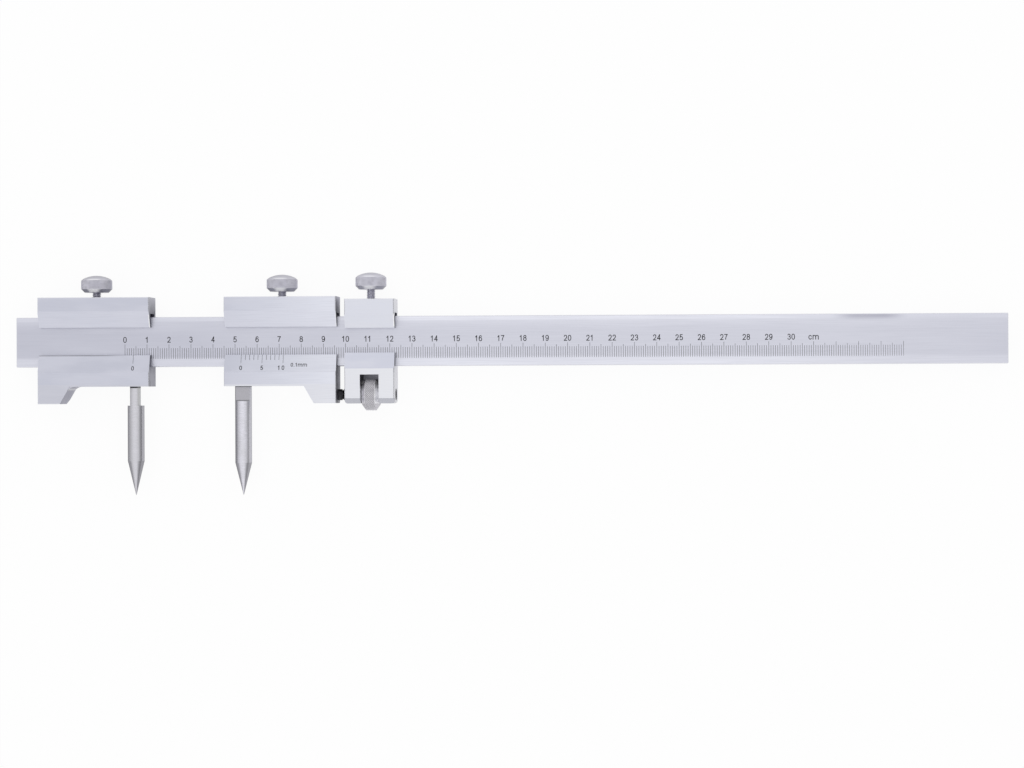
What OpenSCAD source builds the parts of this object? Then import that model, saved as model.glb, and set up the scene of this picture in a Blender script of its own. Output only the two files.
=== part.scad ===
// Marking caliper: a graduated steel beam with two scriber slides, one of them with a fine adjustment.
// Lengths are in millimetres and angles in degrees. The tool lies on its back: +X runs along the beam
// towards its long end, +Y towards the clamp screws, and +Z out of the graduated face. The origin is
// under the middle of the whole tool, on the plane that the backs of the slides rest on.

/* [Beam] */
// Length of the beam
beam_len = 446; // [420:1:520]
// Height of the beam between the two edges that the slides run on
beam_h = 22.5; // [18:0.5:28]
// Thickness of the beam
beam_t = 5; // [4:0.1:6]
// Distance of the scale's zero from the beam's left end
zero_inset = 49.5; // [46:0.5:60]
// Chamfer on the beam's edges
beam_chamfer = 0.3; // [0.1:0.05:0.6]

/* [Places on the scale] */
// Scale reading under the left slide's zero mark
left_zero_at = 4.4; // [2:0.1:12]
// Scale reading under the main slide's zero mark
main_zero_at = 53.3; // [46:0.1:90]
// Free space between the main slide and the carriage
carriage_gap = 3.8; // [3.6:0.1:8]

/* [Graduations] */
// Length of the scale on the beam
scale_len = 350; // [300:10:360]
// Spacing of the scale's lines
scale_step = 1; // [1:1:5]
// Height of the lines' lower ends above the beam's lower edge
scale_base = 3.6; // [2:0.1:4]
// Length of a line
line_short = 4.9; // [3:0.1:5]
// Length of every fifth line
line_middle = 5.8; // [3.5:0.1:6]
// Length of every tenth line
line_long = 6.6; // [4:0.1:7]
// Width of the engraved lines
line_w = 0.16; // [0.1:0.01:0.25]
// Depth of the engraved lines
line_depth = 0.08; // [0.05:0.01:0.15]
// Spacing of the vernier's lines
vernier_step = 1.9; // [0.9:0.1:1.9]
// Length of the vernier's shorter lines
vernier_short = 2.5; // [1.5:0.1:3]
// Length of the zero marks and of every fifth vernier line
vernier_long = 4; // [2:0.1:4.5]

/* [Scriber slides] */
// Length of a slide along the beam
slide_len = 50.5; // [44:0.5:56]
// Wall behind the beam
back_wall = 4.8; // [4.6:0.1:6]
// Metal in front of the beam
front_wall = 5.2; // [5:0.1:8]
// Height of a slide above the beam
slide_top = 8.9; // [7:0.1:12]
// Depth of a slide below the beam
slide_foot = 8.8; // [7.5:0.1:12]
// How far the upper lip covers the beam
slide_upper_lip = 4.7; // [3:0.1:6]
// How far the lower lip covers the beam
slide_lower_lip = 5.3; // [3:0.1:6]
// Thickness of the upper lip at its edge
slide_upper_edge = 2; // [1:0.1:4]
// Thickness of the lower lip at its edge
slide_lower_edge = 2.5; // [1:0.1:4]
// Distance outside the beam at which the lips' bevels begin
slide_bevel_out = 2.6; // [1:0.1:4]
// Distance of the zero mark and the scriber from the slide's inner end
scriber_inset = 7.5; // [5:0.1:12]
// Chamfer on a slide's edges
slide_chamfer = 0.3; // [0.1:0.05:0.5]

/* [Legs] */
// Drop of the leg below the slide's underside
leg_drop = 7.8; // [7.6:0.1:12]
// Width of the leg at its foot
leg_w = 10; // [9:0.1:14]
// Slope of the leg's inner flank
leg_angle = 60; // [50:1:75]
// Fillet between the left leg and its slide
leg_fillet = 4; // [2:0.1:8.5]
// Chamfer on the back of the leg's foot
leg_chamfer = 2; // [0.5:0.1:2.4]

/* [Carriage] */
// Length of the carriage along the beam
carriage_len = 22.4; // [21:0.1:28]
// Height of the carriage above the beam
carriage_top = 7.7; // [7:0.05:12]
// Depth of the carriage below the beam
carriage_foot = 16.8; // [16:0.1:20]
// How far the upper lip covers the beam
carriage_upper_lip = 5.4; // [3:0.1:6]
// How far the lower lip covers the beam
carriage_lower_lip = 6.05; // [3:0.05:6.5]
// Thickness of both lips at their edge
carriage_edge = 2.8; // [1:0.1:4]
// Distance outside the beam at which the lips' bevels begin
carriage_bevel_out = 1.1; // [0.4:0.1:3]
// Bevel along the front and the back of the carriage's foot
carriage_foot_bevel = 2.4; // [0.5:0.1:3]
// Radius of the foot's corners
carriage_corner = 1.2; // [0.5:0.1:2]
// Chamfer on the carriage's edges
carriage_chamfer = 0.4; // [0.1:0.05:0.6]
// Width of the slot that holds the adjusting nut
slot_w = 8.4; // [7:0.1:10]
// Distance from the beam to the top of the slot
slot_drop = 3.8; // [3:0.1:4.5]
// Thickness of the web that closes the top of the slot at the back
web_t = 2; // [1:0.1:2.5]
// Depth of that web below the top of the slot
web_drop = 3.1; // [1.5:0.1:3.5]

/* [Clamp screws] */
// Diameter of a clamp screw's head
head_d = 13.9; // [12:0.1:14.4]
// Height of the knurled band
head_band = 3.3; // [2:0.1:5]
// Bevel above the knurled band
head_shoulder = 1.6; // [0.8:0.1:2.2]
// Bevel below the knurled band
head_under = 1.55; // [0.8:0.05:2.4]
// Radius of the crown on top of the head
head_crown_r = 13; // [9:0.5:20]
// Thread diameter of a clamp screw
screw_d = 4; // [3:0.5:5]
// Thread pitch of a clamp screw
screw_pitch = 0.7; // [0.5:0.05:0.8]
// Free neck between a slide and its screw's head
slide_neck = 2.4; // [1:0.1:4]
// Free neck between the carriage and its screw's head
carriage_neck = 4.35; // [1:0.05:5]
// Diameter of the screw's dog point
dog_d = 2.2; // [1.6:0.1:2.4]

/* [Gib springs] */
// Height of the groove above the beam
gib_groove = 1.5; // [1.2:0.1:2]
// How far the groove runs past the beam's front and back
gib_relief = 1.8; // [0.5:0.1:2]
// Thickness of a spring
gib_t = 0.4; // [0.3:0.05:0.6]
// Width of a spring
gib_w = 4.7; // [3.4:0.1:5]
// Distance of a spring's ends from the ends of its slide
gib_end = 2.5; // [1:0.1:5]

/* [Scribers] */
// Diameter of a scriber
scriber_d = 7.5; // [6:0.1:9]
// Length of a scriber below its slide
scriber_len = 49; // [44:0.1:60]
// Length of the left scriber's cone
left_cone = 15.4; // [10:0.1:20]
// Length of the main scriber's cone
main_cone = 14.5; // [10:0.1:20]
// Length of the left scriber's spanner flats
left_flats = 8.6; // [5:0.1:12]
// Length of the main scriber's spanner flats
main_flats = 6.7; // [5:0.1:12]
// Depth of the shallower spanner flat
flat_shallow = 1.7; // [0.5:0.05:2]
// Depth of the deeper spanner flat
flat_deep = 2.35; // [0.5:0.05:2.6]
// Diameter of the blunt end of a scriber's point
tip_d = 0.2; // [0.1:0.05:0.6]
// Diameter of the stud that holds a scriber in its slide
stud_d = 4; // [3:0.5:5]
// Thread pitch of the stud
stud_pitch = 0.7; // [0.5:0.05:0.8]
// Length of the stud
stud_len = 6.2; // [4:0.1:6.4]

/* [Fine adjustment] */
// Diameter of the threaded spindle
spindle_d = 5; // [4:0.5:6]
// Thread pitch of the spindle
spindle_pitch = 0.8; // [0.5:0.05:1]
// Distance of the spindle's axis below the beam
spindle_drop = 12.8; // [12:0.1:13]
// Length of the plain shoulder between the leg and the thread
spindle_shoulder = 1.9; // [0.5:0.1:3]
// How far the spindle's end lies inside the carriage's outer face
spindle_end_in = 1; // [0.5:0.1:2]
// Diameter of the spindle's root in the leg
root_d = 4; // [3:0.1:4.4]
// Length of the spindle's root in the leg
root_len = 8; // [6:0.1:9]
// Diameter of the dowel that locks the root in the leg
pin_d = 1.6; // [1:0.1:2]
// Length of the dowel
pin_len = 11; // [9.6:0.1:13]
// Diameter of the adjusting nut
nut_d = 14.4; // [12:0.1:14.5]
// Axial bevel of the nut's rim
nut_bevel = 1.75; // [1:0.05:2.5]
// Radial bevel of the nut's rim
nut_bevel_depth = 2.4; // [1:0.1:3]

/* [Fits] */
// Play of the beam in its slides, on each face
slide_fit = 0.04; // [0.02:0.01:0.08]
// Radial clearance of a threaded piece in its hole
thread_fit = 0.05; // [0.02:0.01:0.09]
// Radial clearance of the spindle in the carriage's walls
spindle_fit = 0.1; // [0.05:0.01:0.3]
// Clearance of the nut in its slot, on each side
nut_fit = 0.25; // [0.1:0.05:0.4]
// Clearance of pieces that are pressed or screwed home
seat_fit = 0.01; // [0.005:0.005:0.05]

/* [Hidden] */

// How far every cut runs past the surface that it opens
overrun = 1;
// Depth of a cut thread, as a share of its pitch
thread_depth_share = 0.61;
// Hole in the spring, as a share of the dog point's diameter
dog_hole_share = 1.2;
// Divisions of the vernier
vernier_parts = 10;
// Steps in the spring's bow and in the head's crown
bow_steps = 24;
crown_steps = 8;
$fn = 96;

thickness = back_wall + beam_t + front_wall;
axis_z = back_wall + beam_t / 2;
beam_front = back_wall + beam_t;

left_x = left_zero_at + scriber_inset - slide_len;
main_x = main_zero_at - scriber_inset;
carriage_x = main_x + slide_len + carriage_gap;

head_r = head_d / 2;
crown_edge_r = head_r - head_shoulder;
crown_rise = head_crown_r - sqrt(head_crown_r * head_crown_r - crown_edge_r * crown_edge_r);
head_h = head_under + head_band + head_shoulder + crown_rise;

spring_crown = gib_groove - seat_fit;
nut_w = slot_w - 2 * nut_fit;
nut_x = carriage_x + carriage_len / 2;
spindle_x = main_x + slide_len;
spindle_len = carriage_gap + carriage_len - spindle_end_in;

knobs_y = beam_h + max(slide_top + slide_neck, carriage_top + carriage_neck) + head_h;
points_y = -slide_foot - scriber_len;
origin_x = beam_len / 2 - zero_inset;
origin_y = (knobs_y + points_y) / 2;

// Everything is drawn from the scale's zero and the beam's lower edge, then moved to the origin.
module in_place() {
    translate([-origin_x, -origin_y, 0]) children();
}

// Turns a shape drawn along Z so that it runs along +Y, or along +X.
module along_y() {
    rotate([-90, 0, 0]) children();
}

module along_x() {
    rotate([0, 90, 0]) children();
}

function chamfered(w, h, c) = [
    [c, 0], [w - c, 0], [w, c], [w, h - c], [w - c, h], [c, h], [0, h - c], [0, c]
];

// Length of line i of a scale that counts in fives and tens.
function pick(i, plain, fifth, tenth) = i % 10 == 0 ? tenth : i % 5 == 0 ? fifth : plain;

// Points of a thread with whole turns that ends at height z1, from its lower end upwards.
function thread_turns(d, pitch, z0, z1) = let (
    root_r = d / 2 - thread_depth_share * pitch,
    turns = floor((z1 - z0) / pitch),
    start = z1 - turns * pitch
) concat(
    [[root_r, z0]],
    [for (i = [0:turns - 1]) each [
        [root_r, start + i * pitch],
        [d / 2, start + (i + 0.5) * pitch]
    ]],
    [[root_r, z1]]
);

// Section of a channel that holds the beam, with an open window in front: [Y, Z] pairs.
function channel_section(top, foot, upper, lower, upper_edge, lower_edge, out, c, foot_c) = let (
    ceiling = beam_h + gib_groove,
    seat_back = back_wall - slide_fit,
    seat_front = beam_front + slide_fit
) [
    [-foot, foot_c[0]], [-foot, thickness - foot_c[1]], [-foot + foot_c[1], thickness],
    [-out, thickness], [lower, beam_front + lower_edge], [lower, seat_front],
    [-slide_fit, seat_front], [-slide_fit, seat_back], [beam_h, seat_back],
    [beam_h, seat_back - gib_relief], [ceiling, seat_back - gib_relief],
    [ceiling, seat_front + gib_relief], [beam_h, seat_front + gib_relief], [beam_h, seat_front],
    [beam_h - upper, seat_front], [beam_h - upper, beam_front + upper_edge],
    [beam_h + out, thickness], [beam_h + top - c, thickness], [beam_h + top, thickness - c],
    [beam_h + top, c], [beam_h + top - c, 0], [-foot + foot_c[0], 0]
];

// Bar of that section, with its ends chamfered at the front and the back.
module channel_bar(len, top, foot, upper, lower, upper_edge, lower_edge, out, c, foot_c) {
    intersection() {
        rotate([90, 0, 90]) linear_extrude(len) polygon(channel_section(
            top, foot, upper, lower, upper_edge, lower_edge, out, c, foot_c));
        translate([0, beam_h + top, 0]) rotate([90, 0, 0])
            linear_extrude(foot + beam_h + top) polygon(chamfered(len, thickness, c));
    }
}

module beam() {
    color([0.74, 0.75, 0.78]) in_place() difference() {
        translate([-zero_inset, 0, back_wall]) beam_bar();
        for (i = [0:scale_len / scale_step])
            translate([i * scale_step - line_w / 2, scale_base, beam_front - line_depth])
                cube([line_w, pick(i, line_short, line_middle, line_long), line_depth + overrun]);
    }
}

module beam_bar() {
    intersection() {
        rotate([90, 0, 90]) linear_extrude(beam_len) polygon(chamfered(beam_h, beam_t, beam_chamfer));
        linear_extrude(beam_t) polygon(chamfered(beam_len, beam_h, beam_chamfer));
        translate([0, beam_h, 0]) rotate([90, 0, 0]) linear_extrude(beam_h)
            polygon(chamfered(beam_len, beam_t, beam_chamfer));
    }
}

// Scriber slide with its leg at x = 0 and its scriber near the other end.
module slide_blank() {
    flank = leg_drop / tan(leg_angle);
    intersection() {
        channel_bar(
            slide_len, slide_top, slide_foot + leg_drop, slide_upper_lip, slide_lower_lip,
            slide_upper_edge, slide_lower_edge, slide_bevel_out, slide_chamfer,
            [leg_chamfer, slide_chamfer]);
        linear_extrude(thickness) polygon([
            [0, -slide_foot - leg_drop], [leg_w, -slide_foot - leg_drop],
            [leg_w + flank, -slide_foot], [slide_len, -slide_foot],
            [slide_len, beam_h + slide_top], [0, beam_h + slide_top]
        ]);
    }
}

// Holes of a slide: the clamp screw's at the middle, and the scriber's socket.
module slide_holes() {
    translate([slide_len / 2, beam_h, axis_z]) along_y()
        cylinder(h = slide_top + overrun, r = screw_d / 2 + thread_fit);
    translate([slide_len - scriber_inset, -slide_foot - overrun, axis_z]) along_y()
        cylinder(h = stud_len + stud_pitch + overrun, r = stud_d / 2 + seat_fit);
}

// Lines engraved in the lower lip's bevel, from the scriber's place towards the leg.
module slide_lines(last) {
    slope = atan((front_wall - slide_lower_edge) / (slide_lower_lip + slide_bevel_out));
    for (i = [0:last]) {
        length = pick(i, vernier_short, vernier_long, vernier_long);
        x = slide_len - scriber_inset - i * vernier_step;
        translate([x, slide_lower_lip, beam_front + slide_lower_edge]) rotate([-slope, 0, 0])
            translate([-line_w / 2, -length, -line_depth])
            cube([line_w, length + overrun, line_depth + overrun]);
    }
}

// Metal that rounds the corner between the leg's flank and the slide's underside.
module leg_web() {
    corner = [leg_w + leg_drop / tan(leg_angle), -slide_foot];
    reach = leg_fillet * tan(leg_angle / 2);
    centre = corner + [reach, -leg_fillet];
    difference() {
        translate([0, 0, slide_chamfer]) linear_extrude(thickness - 2 * slide_chamfer) polygon([
            corner, corner + reach * [-cos(leg_angle), -sin(leg_angle)], centre, corner + [reach, 0]
        ]);
        translate([centre[0], centre[1], -overrun]) cylinder(h = thickness + 2 * overrun, r = leg_fillet);
    }
}

module left_slide() {
    color([0.78, 0.79, 0.82]) in_place() translate([left_x, 0, 0]) difference() {
        union() {
            slide_blank();
            leg_web();
        }
        slide_holes();
        slide_lines(0);
    }
}

module main_slide() {
    color([0.78, 0.79, 0.82]) in_place() translate([spindle_x, 0, 0]) difference() {
        mirror([1, 0, 0]) difference() {
            slide_blank();
            slide_holes();
            slide_lines(vernier_parts);
        }
        translate([-root_len - root_d / 4, -spindle_drop, axis_z]) along_x()
            cylinder(h = root_len + root_d / 4 + overrun, r = root_d / 2 + seat_fit);
        translate([-root_len / 2, -spindle_drop, -overrun])
            cylinder(h = pin_len + pin_d / 4 + overrun, r = pin_d / 2 + seat_fit);
    }
}

module carriage() {
    color([0.8, 0.81, 0.84]) in_place() translate([carriage_x, 0, 0]) difference() {
        intersection() {
            channel_bar(
                carriage_len, carriage_top, carriage_foot, carriage_upper_lip, carriage_lower_lip,
                carriage_edge, carriage_edge, carriage_bevel_out, carriage_chamfer,
                [carriage_foot_bevel, carriage_foot_bevel]);
            carriage_outline();
        }
        translate([carriage_len / 2 - slot_w / 2, -carriage_foot - overrun, 0]) {
            translate([0, 0, web_t])
                cube([slot_w, carriage_foot - slot_drop + overrun, thickness]);
            translate([0, 0, -overrun])
                cube([slot_w, carriage_foot - slot_drop - web_drop + overrun, thickness]);
        }
        translate([-overrun, -spindle_drop, axis_z]) along_x()
            cylinder(h = carriage_len + 2 * overrun, r = spindle_d / 2 + spindle_fit);
        translate([carriage_len / 2, beam_h, axis_z]) along_y()
            cylinder(h = carriage_top + overrun, r = screw_d / 2 + thread_fit);
    }
}

// Front view of the carriage, with the two corners of its foot rounded.
module carriage_outline() {
    span = carriage_foot - carriage_corner + beam_h + carriage_top;
    translate([0, carriage_corner - carriage_foot, 0]) cube([carriage_len, span, thickness]);
    translate([carriage_corner, -carriage_foot, 0])
        cube([carriage_len - 2 * carriage_corner, span, thickness]);
    for (x = [carriage_corner, carriage_len - carriage_corner])
        translate([x, carriage_corner - carriage_foot, 0]) cylinder(h = thickness, r = carriage_corner);
}

// Spring steel strip, bowed so that its ends bear on the beam and its crown lies under the screw.
module gib_spring(x, span) {
    len = span - 2 * gib_end;
    rise = spring_crown - gib_t - slide_fit;
    bow = [for (i = [0:bow_steps]) let (s = i / bow_steps)
        [len * s, slide_fit + rise * (1 - pow(2 * s - 1, 2))]];
    under = [for (i = [0:bow_steps]) bow[bow_steps - i]];
    over = [for (p = bow) p + [0, gib_t]];
    color([0.45, 0.46, 0.5]) in_place() translate([x + gib_end, beam_h, axis_z]) difference() {
        translate([0, 0, -gib_w / 2]) linear_extrude(gib_w) polygon(concat(over, under));
        translate([len / 2, 0, 0]) along_y()
            cylinder(h = gib_groove + overrun, r = dog_hole_share * dog_d / 2);
    }
}

module left_gib_spring() {
    gib_spring(left_x, slide_len);
}

module main_gib_spring() {
    gib_spring(main_x, slide_len);
}

module carriage_gib_spring() {
    gib_spring(carriage_x, carriage_len);
}

// Turned clamp screw with a knurled head, a cut thread and a dog point that holds its spring in place.
module clamp_screw(x, top, neck) {
    reach = neck + top - spring_crown;
    crown = [for (i = [0:crown_steps]) let (a = asin(crown_edge_r / head_crown_r) * (1 - i / crown_steps))
        [head_crown_r * sin(a), head_h - head_crown_r * (1 - cos(a))]];
    color([0.72, 0.72, 0.76]) in_place() translate([x, beam_h + top + neck, axis_z]) along_y()
        rotate_extrude() polygon(concat(
            [[0, -reach - gib_t], [dog_d / 2, -reach - gib_t], [dog_d / 2, -reach]],
            thread_turns(screw_d, screw_pitch, -reach, 0),
            [[head_r - head_under, 0], [head_r, head_under], [head_r, head_under + head_band]],
            crown
        ));
}

module left_clamp_screw() {
    clamp_screw(left_x + slide_len / 2, slide_top, slide_neck);
}

module main_clamp_screw() {
    clamp_screw(main_x + slide_len / 2, slide_top, slide_neck);
}

module carriage_clamp_screw() {
    clamp_screw(nut_x, carriage_top, carriage_neck);
}

// Scriber with a threaded stud, two spanner flats under the slide and a long ground point.
module scriber(x, cone, flats, turn) {
    r = scriber_d / 2;
    color([0.62, 0.61, 0.63]) in_place() translate([x, -slide_foot, axis_z]) along_y() rotate(turn)
    difference() {
        rotate_extrude() polygon(concat(
            [[0, -scriber_len], [tip_d / 2, -scriber_len], [r, cone - scriber_len], [r, 0]],
            thread_turns(stud_d, stud_pitch, 0, stud_len),
            [[0, stud_len]]
        ));
        translate([flat_deep - r - scriber_d, -scriber_d, -flats])
            cube([scriber_d, 2 * scriber_d, flats]);
        translate([r - flat_shallow, -scriber_d, -flats])
            cube([scriber_d, 2 * scriber_d, flats]);
    }
}

module left_scriber() {
    scriber(left_zero_at, left_cone, left_flats, 180);
}

module main_scriber() {
    scriber(main_zero_at, main_cone, main_flats, 270);
}

// Threaded spindle with its root dowelled into the main slide's leg.
module adjusting_spindle() {
    r = spindle_d / 2;
    tip = thread_depth_share * spindle_pitch;
    color([0.13, 0.13, 0.14]) in_place() translate([spindle_x, -spindle_drop, axis_z]) difference() {
        along_x() rotate_extrude() polygon(concat(
            [[0, -root_len], [root_d / 2, -root_len], [root_d / 2, 0], [r, 0], [r, spindle_shoulder]],
            thread_turns(spindle_d, spindle_pitch, spindle_shoulder, spindle_len - tip),
            [[r - 2 * tip, spindle_len], [0, spindle_len]]
        ));
        translate([-root_len / 2, 0, -root_d])
            cylinder(h = 2 * root_d, r = pin_d / 2 + seat_fit);
    }
}

module spindle_pin() {
    c = pin_d / 8;
    color([0.55, 0.55, 0.57]) in_place() translate([spindle_x - root_len / 2, -spindle_drop, 0])
        rotate_extrude() polygon([
            [0, 0], [pin_d / 2 - c, 0], [pin_d / 2, c],
            [pin_d / 2, pin_len - c], [pin_d / 2 - c, pin_len], [0, pin_len]
        ]);
}

// Knurled nut that runs on the spindle inside the carriage's slot.
module adjusting_nut() {
    bore = spindle_d / 2 + thread_fit;
    rim = nut_d / 2;
    flank = nut_w / 2;
    color([0.6, 0.58, 0.6]) in_place() translate([nut_x, -spindle_drop, axis_z]) along_x()
        rotate_extrude() polygon([
            [bore, -flank], [rim - nut_bevel_depth, -flank], [rim, nut_bevel - flank],
            [rim, flank - nut_bevel], [rim - nut_bevel_depth, flank], [bore, flank]
        ]);
}

beam();
left_slide();
left_gib_spring();
left_clamp_screw();
left_scriber();
main_slide();
main_gib_spring();
main_clamp_screw();
main_scriber();
carriage();
carriage_gib_spring();
carriage_clamp_screw();
adjusting_spindle();
spindle_pin();
adjusting_nut();
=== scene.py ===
import math

import bmesh
import bpy
from mathutils import Matrix, Vector


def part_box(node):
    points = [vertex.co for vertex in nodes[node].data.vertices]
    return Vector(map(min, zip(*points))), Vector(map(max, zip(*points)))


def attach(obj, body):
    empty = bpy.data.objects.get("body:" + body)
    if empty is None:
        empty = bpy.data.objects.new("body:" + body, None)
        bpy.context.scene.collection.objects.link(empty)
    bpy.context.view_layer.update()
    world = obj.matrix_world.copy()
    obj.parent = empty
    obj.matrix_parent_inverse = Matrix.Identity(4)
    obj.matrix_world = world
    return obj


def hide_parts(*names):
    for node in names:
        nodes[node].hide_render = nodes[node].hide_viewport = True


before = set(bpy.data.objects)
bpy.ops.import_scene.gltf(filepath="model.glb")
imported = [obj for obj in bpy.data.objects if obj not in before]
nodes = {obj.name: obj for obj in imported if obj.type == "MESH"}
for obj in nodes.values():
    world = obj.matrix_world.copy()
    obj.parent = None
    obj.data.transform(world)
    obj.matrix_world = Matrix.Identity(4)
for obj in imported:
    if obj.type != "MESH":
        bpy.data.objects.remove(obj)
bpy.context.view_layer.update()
mm = 0.001
beamLow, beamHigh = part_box("beam")
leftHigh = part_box("left_slide")[1]
mainLow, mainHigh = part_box("main_slide")
carriageLow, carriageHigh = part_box("carriage")
nutLow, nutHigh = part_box("adjusting_nut")
nutMiddle = (nutLow + nutHigh) / 2
axisHeight = (nutLow.z + nutHigh.z) / 2  # of the clamp screws, the scribers and the nut
frontHeight = mainHigh.z  # of the slides and the carriage
lowerLip, upperLip = 5.3 * mm, 4.7 * mm  # how far the slides' lips reach over the beam's front
windowLow, windowHigh = beamLow.y + lowerLip, beamHigh.y - upperLip


class Signal:  # one output socket; maths on it adds nodes to the same tree
    def __init__(self, tree, socket=None):
        self.tree = tree
        self.socket = socket

    def add(self, kind, settings=None, sockets=None, out=0):
        made = self.tree.nodes.new("ShaderNode" + kind)
        for key, value in (settings or {}).items():
            if key == "stops":
                self.fillRamp(made.color_ramp, value)
            else:
                setattr(made, key, value)
        for key, value in (sockets or {}).items():
            if isinstance(value, Signal):
                self.tree.links.new(value.socket, made.inputs[key])
            else:
                made.inputs[key].default_value = value
        return Signal(self.tree, made.outputs[out])

    def fillRamp(self, ramp, stops):
        while len(ramp.elements) > 1:
            ramp.elements.remove(ramp.elements[-1])
        for i, (place, level) in enumerate(stops):
            stop = ramp.elements[0] if i == 0 else ramp.elements.new(place)
            stop.position = place
            stop.color = (level, level, level, 1)

    def maths(self, operation, other, swapped=False):
        pair = (other, self) if swapped else (self, other)
        return self.add("Math", {"operation": operation}, dict(enumerate(pair)))

    def __add__(self, other):
        return self.maths("ADD", other)

    def __sub__(self, other):
        return self.maths("SUBTRACT", other)

    def __rsub__(self, other):
        return self.maths("SUBTRACT", other, True)

    def __mul__(self, other):
        return self.maths("MULTIPLY", other)

    def __truediv__(self, other):
        return self.maths("DIVIDE", other)

    def __gt__(self, other):
        return self.maths("GREATER_THAN", other)

    def __lt__(self, other):
        return self.maths("LESS_THAN", other)

    def __abs__(self):
        return self.maths("ABSOLUTE", 0)

    def top(self, other):
        return self.maths("MAXIMUM", other)

    def ramp(self, low, high):  # 0 at low, 1 at high, clamped
        return self.add("MapRange", {"interpolation_type": "SMOOTHSTEP"}, {0: self, 1: low, 2: high})

    def inside(self, low, high):  # 1 between low and high, with a sharp edge
        return (self > low) * (self < high)

    def between(self, low, high, edge):  # the same, soft over the width of the edge
        return self.ramp(low - edge, low) * (1 - self.ramp(high, high + edge))

    def curve(self, stops):  # level at each value of this signal, straight between the stops
        low, high = stops[0][0], stops[-1][0]
        placed = [((value - low) / (high - low), level) for value, level in stops]
        return self.add("ValToRGB", {"stops": placed}, {0: (self - low) / (high - low)})

    def tinted(self, plain, other):  # plain where this mask is 0, other where it is 1
        return self.add("Mix", {"data_type": "RGBA"}, {0: self, 6: plain, 7: other}, 2)

    __radd__ = __add__
    __rmul__ = __mul__


def startMaterial(name):
    material = bpy.data.materials.new(name)
    material.use_nodes = True
    tree = material.node_tree
    spot = Signal(tree).add("TexCoord", out="Object")
    return material, tree.nodes["Principled BSDF"], spot


def axisParts(vector):
    return [vector.add("SeparateXYZ", None, {0: vector}, i) for i in range(3)]


def distance(a, b):  # from an axis, by the two ways out from it
    return (a * a + b * b).maths("POWER", 0.5)


markNoise = {  # detail of the noise, and the levels between which its marks come in
    "grain": (4.0, 0.35, 0.75), "rings": (3.0, 0.35, 0.7), "cloud": (2.0, 0.4, 0.7),
    "pits": (2.0, 0.68, 0.8), "wear": (3.0, 0.45, 0.75),
}


def marks(spot, kind, lengths):  # noise drawn out to lengths along the axes, and where its marks show
    detail, low, high = markNoise[kind]
    scaled = spot.add("VectorMath", {"operation": "MULTIPLY"}, {0: spot, 1: [1 / v for v in lengths]})
    noise = spot.add("TexNoise", {"noise_dimensions": "3D"},
                     {"Vector": scaled, "Scale": 1.0, "Detail": detail})
    return noise, noise.ramp(low, high)


def tone(grey, blue=0.0, warm=0.0):  # colour from a display grey of 0 to 255
    def linear(v):
        v = v / 255
        return v / 12.92 if v <= 0.04045 else ((v + 0.055) / 1.055) ** 2.4
    return (linear(grey + warm), linear(grey), linear(grey + blue), 1)


def laid(mask, finish):  # a finish is the share at which a tone covers the face, and the tone
    share, shade = finish
    return mask * share, shade


def layered(face, layers):  # each shade over the last one, where its mask is
    for mask, shade in layers:
        face = mask.tinted(face, shade)
    return face


edgeTint = (0.7, 0.7, 0.7, 1)  # how much of the light a metal face throws back at a glancing angle
squareFacing = 0.9  # a face counts as square to an axis above this part of its normal
chamferLimit = 0.8  # and as a chamfer when no part of its normal reaches this


def finishShader(shader, colour, roughness, height, bumpDepth, metallic):
    tree = colour.tree
    tree.links.new(colour.socket, shader.inputs["Base Color"])
    tree.links.new(roughness.socket, shader.inputs["Roughness"])
    if isinstance(metallic, Signal):
        tree.links.new(metallic.socket, shader.inputs["Metallic"])
    else:
        shader.inputs["Metallic"].default_value = metallic
    shader.inputs["Specular Tint"].default_value = edgeTint
    bump = colour.add("Bump", None, {"Strength": 1.0, "Distance": bumpDepth, "Height": height})
    tree.links.new(bump.socket, shader.inputs["Normal"])


def metalShare(look, facing):  # 1 for metal, less where a worn place would mirror what is beside it
    return 1 - look["dull"](*facing) if "dull" in look else look.get("metallic", 1.0)


def noZones(*signals):
    return []


def groundSteel(name, look):  # satin chrome over steel that was ground along x
    material, shader, spot = startMaterial(name)
    x, y, z = axisParts(spot)
    facing = axisParts(spot.add("TexCoord", out="Normal"))
    rise = facing[2]
    nx, ny, nz = [abs(v) for v in facing]
    ends = nx > squareFacing
    edges = nx.top(ny).top(nz) < chamferLimit
    grain, grainShown = marks(spot, "grain", look["grain"])
    cloudShown = marks(spot, "cloud", look["cloud"])[1]
    pitsShown = marks(spot, "pits", [look["pitSize"]] * 3)[1]
    face = x.curve(look["alongStops"]).tinted(look["toneLow"], look["toneHigh"])
    face = layered(face, look["zones"](x, y, z, rise))
    face = layered(face, [laid(ny > squareFacing, look["top"])] + look["ends"](x, y, z, ends, rise))
    face = layered(face, [laid(edges, look["edge"]), laid(grainShown, look["grainFinish"]),
                          laid(cloudShown, look["cloudFinish"]), laid(pitsShown, look["pitFinish"])])
    face = layered(face, look["recesses"](x, y, z))
    rough = grain * look["roughSwing"] + look["rough"]
    rough = rough + ends * look["endRough"] - edges * look["edgePolish"]
    finishShader(shader, face, rough, grain, look["bump"], metalShare(look, facing))
    return material


ringRun = 2.0 * mm  # how far a lathe mark keeps its tone on its way round


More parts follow.
